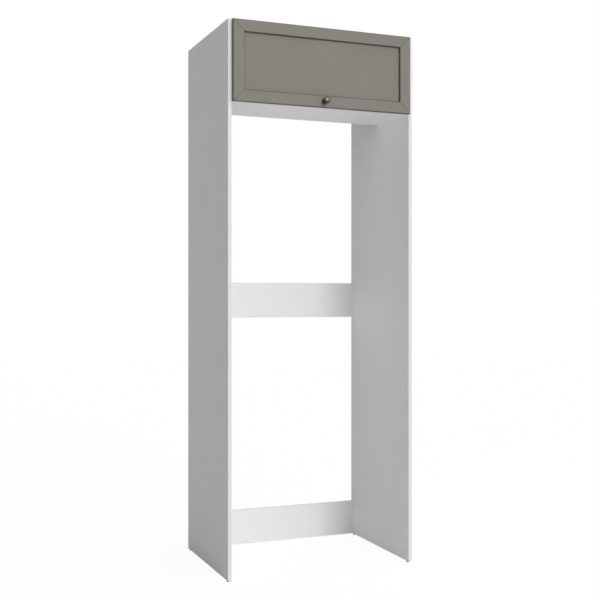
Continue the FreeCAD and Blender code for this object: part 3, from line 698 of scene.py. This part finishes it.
@cache
def fastener_tree():
    """Geometry nodes that set a domed fastener on each point, with its head along the point's direction."""
    tree = bpy.data.node_groups.new("Fastener", "GeometryNodeTree")
    sockets = tree.interface
    sockets.new_socket("Places", in_out="INPUT", socket_type="NodeSocketGeometry")
    for name in FASTENER_SIZES:
        sockets.new_socket(name, in_out="INPUT", socket_type="NodeSocketFloat")
    sockets.new_socket("Cross Recess", in_out="INPUT", socket_type="NodeSocketBool")
    sockets.new_socket("Finish", in_out="INPUT", socket_type="NodeSocketMaterial")
    sockets.new_socket("Fasteners", in_out="OUTPUT", socket_type="NodeSocketGeometry")
    given = put(tree, "NodeGroupInput").outputs

    def vector(x, y, z):
        return put(tree, "ShaderNodeCombineXYZ", {0: x, 1: y, 2: z}).outputs[0]

    def moved(geometry, place):
        inputs = {"Geometry": geometry, "Translation": place}
        return put(tree, "GeometryNodeTransform", inputs).outputs[0]

    def block(x, y, z):
        return put(tree, "GeometryNodeMeshCube", {"Size": vector(x, y, z)}).outputs[0]

    head, rise = given["Head Radius"], given["Head Height"]
    inputs = {"Segments": HEAD_SIDES, "Rings": HEAD_RINGS, "Radius": 1.0}
    ball = put(tree, "GeometryNodeMeshUVSphere", inputs).outputs[0]
    inputs = {"Geometry": ball, "Scale": vector(head, head, rise)}
    scaled = put(tree, "GeometryNodeTransform", inputs).outputs[0]
    # A block wider than the ball takes away its lower half
    wide = calc(tree, "MULTIPLY", head, 3.0)
    tall = calc(tree, "MULTIPLY", rise, 2.0)
    below = moved(block(wide, wide, tall), vector(0.0, 0.0, calc(tree, "MULTIPLY", rise, -1.0)))
    inputs = {"Mesh 1": scaled, "Mesh 2": below}
    dome = put(tree, "GeometryNodeMeshBoolean", inputs, operation="DIFFERENCE").outputs[0]

    # Two crossed blocks, sunk to half their height, cut the recess
    arm = calc(tree, "MULTIPLY", calc(tree, "SUBTRACT", head, given["Recess Width"]), 1.5)
    deep = calc(tree, "MULTIPLY", given["Recess Depth"], 2.0)
    top = vector(0.0, 0.0, rise)
    one = moved(block(arm, given["Recess Width"], deep), top)
    two = moved(block(given["Recess Width"], arm, deep), top)
    inputs = {"Mesh 1": dome, "Mesh 2": one}
    crossed = put(tree, "GeometryNodeMeshBoolean", inputs, operation="DIFFERENCE")
    tree.links.new(two, crossed.inputs["Mesh 2"])
    inputs = {"Switch": given["Cross Recess"], "False": dome, "True": crossed.outputs[0]}
    topped = put(tree, "GeometryNodeSwitch", inputs, input_type="GEOMETRY").outputs[0]

    inputs = {"Vertices": SHANK_SIDES, "Radius": given["Shank Radius"], "Depth": given["Shank Length"]}
    bar = put(tree, "GeometryNodeMeshCylinder", inputs).outputs[0]
    shank = moved(bar, vector(0.0, 0.0, calc(tree, "MULTIPLY", given["Shank Length"], -0.5)))
    whole = put(tree, "GeometryNodeJoinGeometry", {0: topped})
    tree.links.new(shank, whole.inputs[0])

    direction = put(tree, "GeometryNodeInputNamedAttribute", {"Name": "direction"}, data_type="FLOAT_VECTOR")
    turn = put(tree, "FunctionNodeAlignRotationToVector", {"Vector": direction.outputs[0]}, axis="Z")
    inputs = {"Points": given["Places"], "Instance": whole.outputs[0], "Rotation": turn.outputs[0]}
    copies = put(tree, "GeometryNodeInstanceOnPoints", inputs).outputs[0]
    real = put(tree, "GeometryNodeRealizeInstances", {0: copies}).outputs[0]
    inputs = {"Geometry": real, "Material": given["Finish"]}
    coated = put(tree, "GeometryNodeSetMaterial", inputs).outputs[0]
    put(tree, "NodeGroupOutput", {0: coated})
    return tree


def fasteners(node, heading, head_height, shank_radius, material, recess=True):
    """Fasteners in the place of a CAD node's solids; heading gives the way a head looks from its place."""
    fittings = settings()[1]
    boxes = solids(node)
    mesh = bmesh.new()
    direction = mesh.verts.layers.float_vector.new("direction")
    for low, high in boxes:
        middle = (low + high) / 2
        way = heading(middle)
        reach = (high - low).dot(Vector([abs(part) for part in way]))
        vert = mesh.verts.new(middle + way * (reach / 2 - head_height))
        vert[direction] = way
    piece = new_piece(node + "_domed", mesh)
    low, high = boxes[0]
    reach = max(high - low)
    values = {
        "Head Radius": sorted(high - low)[0] / 2,
        "Head Height": head_height,
        "Shank Radius": shank_radius,
        "Shank Length": reach - head_height,
        "Recess Width": fittings.recess_width,
        "Recess Depth": fittings.recess_depth,
        "Cross Recess": recess,
        "Finish": material,
    }
    modifier = piece.modifiers.new("Fasteners", "NODES")
    modifier.node_group = fastener_tree()
    for item in modifier.node_group.interface.items_tree:
        if item.in_out == "INPUT" and item.name in values:
            modifier[item.identifier] = values[item.name]
    make_plain(piece)
    shade(piece.data)
    stand_for(piece, node)


class CABINET_OT_boards(bpy.types.Operator):
    """Coat the boards and the back sheet"""

    bl_idname = "cabinet.boards"
    bl_label = "Boards"

    def execute(self, context):
        for side in SIDES:
            paint(melamine(0), "side_panel_" + side)
            paint(melamine(0, under=True), "module_side_" + side)
        paint(melamine(1), "rail_middle", "rail_bottom")
        paint(melamine(2), "module_top", "module_bottom")
        paint(back_sheet(), "module_back")
        return {"FINISHED"}


class CABINET_OT_edge_bands(bpy.types.Operator):
    """Round and finish the edge bands"""

    bl_idname = "cabinet.edge_bands"
    bl_label = "Edge bands"

    def execute(self, context):
        radius = settings()[1].band_round
        for node in ("panel_edge_band_left", "panel_edge_band_right", "rail_edge_bands", "module_edge_bands"):
            softened(node, radius, edge_band())
        return {"FINISHED"}


class CABINET_OT_door(bpy.types.Operator):
    """Round the door's front arrises, so that its mitres show, and lay on its foil"""

    bl_idname = "cabinet.door"
    bl_label = "Door"

    def execute(self, context):
        fittings = settings()[1]
        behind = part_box("door_rail_top")[0].y + fittings.door_front

        def share(edge):
            one, two = [vert.co for vert in edge.verts]
            run = two - one
            if one.y > behind or abs(run.y) > WELD or run.length < fittings.door_hole:
                return 0.0
            slanted = min(abs(run.x), abs(run.z)) > WELD
            return fittings.mitre_round / fittings.door_round if slanted else 1.0

        for node in ("door_rail_top", "door_rail_bottom", "door_stile_left", "door_stile_right"):
            softened(node, fittings.door_round, door_foil(), share, clamp=False)
        paint(door_foil(), "door_panel")
        paint(beech(0), "mitre_splines")
        return {"FINISHED"}


class CABINET_OT_knob(bpy.types.Operator):
    """Turn the knob with its beaded foot, waisted neck and domed crown"""

    bl_idname = "cabinet.knob"
    bl_label = "Knob"

    def execute(self, context):
        fittings = settings()[1]
        low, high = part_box("knob")
        head = (high.x - low.x) / 2
        reach = high.y - low.y
        rim_end = reach - fittings.crown
        rim_start = rim_end - fittings.rim_height
        bead = fittings.foot_height / 2
        roll = fittings.rim_round
        profile = [(0.0, 0.0)]
        profile += round_over((fittings.foot_radius - bead, bead), bead, -90, 90, BEAD_STEPS)
        neck_start = Vector((fittings.foot_radius - 1.5 * bead, fittings.foot_height, 0.0))
        neck_end = Vector((head - 1.5 * roll, rim_start, 0.0))
        waist = fittings.neck_radius - 0.5 * bead
        first = Vector((waist, reach * fittings.waist_low, 0.0))
        second = Vector((waist, reach * fittings.waist_high, 0.0))
        neck = interpolate_bezier(neck_start, first, second, neck_end, NECK_STEPS)
        profile += [(point.x, point.y) for point in neck]
        profile += round_over((head - roll, rim_start + roll), roll, -90, 0)
        profile += round_over((head - roll, rim_end - roll), roll, 0, 60)
        edge = profile[-1][0] - 0.4 * roll
        sphere = (edge ** 2 + fittings.crown ** 2) / (2 * fittings.crown)
        for step in range(CROWN_STEPS + 1):
            radius = edge * math.cos(math.pi / 2 * step / CROWN_STEPS)
            profile.append((max(radius, 0.0), reach - sphere + math.sqrt(sphere ** 2 - radius ** 2)))
        foot = Vector(((low.x + high.x) / 2, high.y, (low.z + high.z) / 2))
        piece = turned_piece("knob_turned", [(profile, foot, Vector((0.0, -1.0, 0.0)))], knob_bronze())
        stand_for(piece, "knob")
        return {"FINISHED"}


class CABINET_OT_glides(bpy.types.Operator):
    """Mould the foot glides with a flange and a rounded sole, and finish their nails"""

    bl_idname = "cabinet.glides"
    bl_label = "Foot glides"

    def execute(self, context):
        fittings = settings()[1]
        edge = fittings.glide_edge
        sole = fittings.glide_sole
        bodies = []
        for low, high in solids("foot_glides"):
            radius = (high.x - low.x) / 2
            height = high.z - low.z
            flange = fittings.glide_flange * height
            body = radius - fittings.glide_step
            profile = [(0.0, 0.0), (radius, 0.0)]
            profile += round_over((radius - edge, flange - edge), edge, 0, 90, FLANGE_STEPS)
            profile += [(body, flange)]
            profile += round_over((body - sole, height - sole), sole, 0, 90, SOLE_STEPS)
            profile += [(0.0, height)]
            foot = Vector(((low.x + high.x) / 2, (low.y + high.y) / 2, high.z))
            bodies.append((profile, foot, Vector((0.0, 0.0, -1.0))))
        piece = turned_piece("foot_glides_moulded", bodies, moulded("glide", roughness=0.5, grain=900.0))
        stand_for(piece, "foot_glides")
        paint(zinc_plate(), "foot_glide_nails")
        return {"FINISHED"}


class CABINET_OT_fasteners(bpy.types.Operator):
    """Set the domed screws and the back nails"""

    bl_idname = "cabinet.fasteners"
    bl_label = "Screws and nails"

    def execute(self, context):
        fittings = settings()[1]
        zinc = zinc_plate()
        nickel = nickel_plate()
        wood = (fittings.wood_head, fittings.wood_shank)
        machine = (fittings.machine_head, fittings.machine_shank)
        nail = (fittings.nail_head, fittings.nail_shank)

        def inwards(place):
            return Vector((-math.copysign(1.0, place.x), 0.0, 0.0))

        def rearwards(place):
            return Vector((0.0, 1.0, 0.0))

        def downwards(place):
            return Vector((0.0, 0.0, -1.0))

        fasteners("hinge_cup_screws", rearwards, *wood, nickel)
        fasteners("hinge_plate_screws", downwards, *wood, nickel)
        fasteners("hinge_arm_screws", downwards, *machine, nickel)
        fasteners("stay_case_screws", inwards, *wood, zinc)
        fasteners("stay_bracket_screws", rearwards, *wood, nickel)
        fasteners("module_fixing_screws", inwards, *machine, zinc)
        fasteners("knob_screw", rearwards, *machine, zinc)
        fasteners("back_nails", rearwards, *nail, zinc, recess=False)
        return {"FINISHED"}


class CABINET_OT_rail_joints(bpy.types.Operator):
    """Finish the cams, bolts and dowels of the rails and the cupboard's connectors"""

    bl_idname = "cabinet.rail_joints"
    bl_label = "Rail joints"

    def execute(self, context):
        zinc = zinc_plate()
        softened("cam_housings", settings()[1].sheet_round, zinc)
        paint(zinc, "cam_bolts", "module_connectors")
        paint(beech(0), "rail_dowels")
        return {"FINISHED"}


class CABINET_OT_hinges(bpy.types.Operator):
    """Round and plate the hinge cups, arms and plates"""

    bl_idname = "cabinet.hinges"
    bl_label = "Hinges"

    def execute(self, context):
        radius = settings()[1].sheet_round
        nickel = nickel_plate()
        for side in SIDES:
            for piece in ("hinge_cup_", "hinge_arm_", "hinge_plate_"):
                softened(piece + side, radius, nickel)
        softened("hinge_pins", radius, zinc_plate())
        return {"FINISHED"}


class CABINET_OT_stays(bpy.types.Operator):
    """Round and finish the lift stays"""

    bl_idname = "cabinet.stays"
    bl_label = "Lift stays"

    def execute(self, context):
        fittings = settings()[1]
        radius = fittings.sheet_round
        zinc = zinc_plate()
        nickel = nickel_plate()
        cover = moulded("cover", roughness=0.5, grain=1100.0)
        for side in SIDES:
            softened("stay_cover_" + side, fittings.cover_round, cover)
            softened("stay_base_" + side, radius, zinc)
            for piece in ("stay_lever_", "stay_link_", "stay_bracket_"):
                softened(piece + side, radius, nickel)
            for piece in ("stay_pin_", "stay_lever_rivet_"):
                softened(piece + side, radius, zinc)
        softened("stay_bracket_pins", radius, zinc)
        paint(zinc, "stay_disc_springs")
        paint(moulded("lining", roughness=0.8, grain=700.0), "stay_friction_pads")
        return {"FINISHED"}


class CABINET_OT_bumpers(bpy.types.Operator):
    """Mould the soft bumpers that the door shuts against"""

    bl_idname = "cabinet.bumpers"
    bl_label = "Door bumpers"

    def execute(self, context):
        fittings = settings()[1]
        bodies = []
        for low, high in solids("door_bumpers"):
            radius = (high.x - low.x) / 2
            height = high.y - low.y
            flat = fittings.bumper_flat * radius
            shoulder = fittings.bumper_shoulder * height
            profile = [(0.0, 0.0), (radius, 0.0), (radius, shoulder)]
            for step in range(1, DOME_STEPS + 1):
                turn = math.pi / 2 * step / DOME_STEPS
                rise = shoulder + (height - shoulder) * math.sin(turn)
                profile.append((flat + (radius - flat) * math.cos(turn), rise))
            profile.append((0.0, height))
            foot = Vector(((low.x + high.x) / 2, high.y, (low.z + high.z) / 2))
            bodies.append((profile, foot, Vector((0.0, -1.0, 0.0))))
        rubber = moulded("bumper", roughness=0.35, grain=500.0)
        piece = turned_piece("door_bumpers_moulded", bodies, rubber)
        stand_for(piece, "door_bumpers")
        return {"FINISHED"}


def seen_rays(tree):
    """1 for rays that show the background itself or its mirror image, and 0 for rays that only light."""
    rays = put(tree, "ShaderNodeLightPath").outputs
    direct = calc(tree, "MAXIMUM", rays["Is Camera Ray"], rays["Is Glossy Ray"])
    return calc(tree, "MAXIMUM", direct, rays["Is Transmission Ray"])


class CABINET_OT_stage(bpy.types.Operator):
    """Set up the camera, the soft lamp, the white room and the pale floor"""

    bl_idname = "cabinet.stage"
    bl_label = "Stage"

    def execute(self, context):
        stage = settings()[2]
        self.camera(context.scene, stage)
        self.lamp(context.scene, stage)
        self.room(context.scene, stage)
        self.floor(context.scene, stage)
        context.scene.view_settings.view_transform = "Standard"
        return {"FINISHED"}

    def camera(self, scene, stage):
        """Level camera at the photograph's place."""
        data = bpy.data.cameras.new("Camera")
        data.lens = stage.lens
        data.shift_y = stage.shift
        camera = bpy.data.objects.new("Camera", data)
        camera.location = stage.camera_place
        camera.rotation_euler = (math.pi / 2, 0.0, stage.camera_heading)
        scene.collection.objects.link(camera)
        scene.camera = camera

    def lamp(self, scene, stage):
        """Soft key light from the front."""
        data = bpy.data.lights.new("Key", "SUN")
        data.energy = stage.lamp_strength
        data.angle = stage.lamp_spread
        lamp = bpy.data.objects.new("Key", data)
        lamp.rotation_euler = (math.pi / 2 - stage.lamp_height, 0.0, stage.lamp_heading)
        scene.collection.objects.link(lamp)

    def room(self, scene, stage):
        """World that looks white and lights the object softly."""
        world = bpy.data.worlds.new("White room")
        world.use_nodes = True
        tree = world.node_tree
        background = tree.nodes["Background"]
        background.inputs["Color"].default_value = (1.0, 1.0, 1.0, 1.0)
        way = put(tree, "ShaderNodeTexCoord").outputs["Generated"]
        across, back, up = put(tree, "ShaderNodeSeparateXYZ", {0: way}).outputs
        level = spread(tree, up, 0.0, 1.0, stage.room_low, stage.room_high)
        to_right = calc(tree, "ADD", calc(tree, "MULTIPLY", across, stage.room_right), 1.0)
        lean = calc(tree, "SUBTRACT", to_right, calc(tree, "MULTIPLY", back, stage.room_front))
        light = calc(tree, "MULTIPLY", level, lean)
        strength = spread(tree, seen_rays(tree), 0.0, 1.0, light, 1.0)
        tree.links.new(strength, background.inputs["Strength"])
        scene.world = world

    def floor(self, scene, stage):
        """Pale floor that looks white and keeps the object's shadow."""
        half = stage.floor_span / 2
        mesh = bmesh.new()
        corners = [(-half, -half), (half, -half), (half, half), (-half, half)]
        mesh.faces.new([mesh.verts.new((x, y, 0.0)) for x, y in corners])
        floor = new_piece("floor", mesh)
        finish = Finish("pale_floor")
        tree = finish.tree
        seen = seen_rays(tree)
        speckle = finish.cloud(60.0, 3.0, 0.98, 1.0)
        plain = mixed(tree, speckle, opaque(stage.floor_colour, 0.0), opaque(stage.floor_colour))
        finish.set(
            Base_Color=mixed(tree, seen, plain, opaque(stage.floor_colour, stage.floor_shadow)),
            Roughness=1.0,
            Specular_IOR_Level=0.0,
            Emission_Color=(1.0, 1.0, 1.0, 1.0),
            Emission_Strength=calc(tree, "MULTIPLY", seen, stage.floor_white),
        )
        floor.data.materials.append(finish.material)
        floor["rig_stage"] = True


class CABINET_PT_cabinet(bpy.types.Panel):
    """Lists the settings and the steps that finish the cabinet"""

    bl_label = "Over-fridge Cabinet"
    bl_idname = "CABINET_PT_cabinet"
    bl_space_type = "VIEW_3D"
    bl_region_type = "UI"
    bl_category = "Cabinet"

    def draw(self, context):
        for group in settings():
            box = self.layout.box()
            for name in group.bl_rna.properties.keys():
                if name not in ("rna_type", "name"):
                    box.prop(group, name)
        for operator in OPERATORS:
            self.layout.operator(operator.bl_idname)


GROUPS = {
    "cabinet_finishes": CabinetFinishes,
    "cabinet_fittings": CabinetFittings,
    "cabinet_stage": CabinetStage,
}
OPERATORS = (
    CABINET_OT_boards,
    CABINET_OT_edge_bands,
    CABINET_OT_door,
    CABINET_OT_knob,
    CABINET_OT_glides,
    CABINET_OT_fasteners,
    CABINET_OT_rail_joints,
    CABINET_OT_hinges,
    CABINET_OT_stays,
    CABINET_OT_bumpers,
    CABINET_OT_stage,
)


def register():
    """Register the classes and hang the settings on the scene."""
    for group in (*GROUPS.values(), *OPERATORS, CABINET_PT_cabinet):
        bpy.utils.register_class(group)
    for name, group in GROUPS.items():
        setattr(bpy.types.Scene, name, PointerProperty(type=group))


def unregister():
    """Take the settings and the classes away again."""
    for name in GROUPS:
        delattr(bpy.types.Scene, name)
    for group in reversed((*GROUPS.values(), *OPERATORS, CABINET_PT_cabinet)):
        bpy.utils.unregister_class(group)


def main():
    """Finish the cabinet, set its stage and work out its size."""
    register()
    bpy.ops.cabinet.boards()
    bpy.ops.cabinet.edge_bands()
    bpy.ops.cabinet.door()
    bpy.ops.cabinet.knob()
    bpy.ops.cabinet.glides()
    bpy.ops.cabinet.fasteners()
    bpy.ops.cabinet.rail_joints()
    bpy.ops.cabinet.hinges()
    bpy.ops.cabinet.stays()
    bpy.ops.cabinet.bumpers()
    bpy.ops.cabinet.stage()
    boxes = {"cad": cad_box, "visual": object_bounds()}
    {name: [list(corner) for corner in box] for name, box in boxes.items()}


if __name__ == "__main__":
    main()
